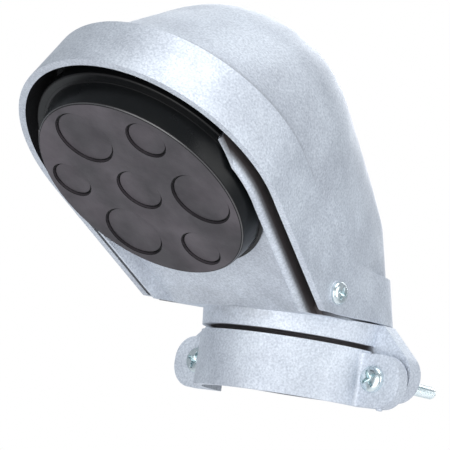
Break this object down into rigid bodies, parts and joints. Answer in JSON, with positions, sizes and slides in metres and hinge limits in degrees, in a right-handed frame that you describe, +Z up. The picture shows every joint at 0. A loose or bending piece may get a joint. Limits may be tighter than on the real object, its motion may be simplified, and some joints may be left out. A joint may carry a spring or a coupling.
{
  "type": "service entrance weatherhead",
  "caption": "Clamp-on service entrance weatherhead: cast hood over a sloping tray with a knockout insert, and a strap clamp that grips the top of a conduit mast.",
  "frame": {"origin": "on the conduit axis, at the height of the two clamp screws", "axes": "+Z up the conduit, -Y towards the mouth, +X across, from one clamp screw to the other"},
  "size_m": [0.1496, 0.239, 0.1834],
  "materials": {
    "cast_metal": "satin as-cast aluminium, faintly mottled",
    "insert_moulding": "dark moulded plastic, matte face and glossy side",
    "zinc_screw": "bright zinc plate"
  },
  "bodies": {
    "head": {"base_casting": "cast_metal", "hood": "cast_metal", "knockout_insert": "insert_moulding", "hood_screw_left": "zinc_screw", "hood_screw_right": "zinc_screw"},
    "strap": {"clamp_strap": "cast_metal"},
    "screw_left": {"clamp_screw_left": "zinc_screw"},
    "screw_right": {"clamp_screw_right": "zinc_screw"}
  },
  "joints": [
    {"name": "strap_slide", "type": "slide", "parent": "head", "child": "strap", "axis": [0, -1, 0], "range_m": [0, 0.008]},
    {"name": "screw_right_turn", "type": "hinge", "parent": "strap", "child": "screw_right", "pos_m": [0.0582, 0, 0], "axis": [0, -1, 0], "range_deg": [0, 2268]},
    {"name": "screw_left_turn", "type": "hinge", "parent": "strap", "child": "screw_left", "pos_m": [-0.0582, 0, 0], "axis": [0, -1, 0], "range_deg": [0, 2268]}
  ],
  "couplings": [
    {"joint": "screw_right_turn", "follows": "strap_slide", "rad_per_m": 4947.4},
    {"joint": "screw_left_turn", "follows": "strap_slide", "rad_per_m": 4947.4}
  ]
}
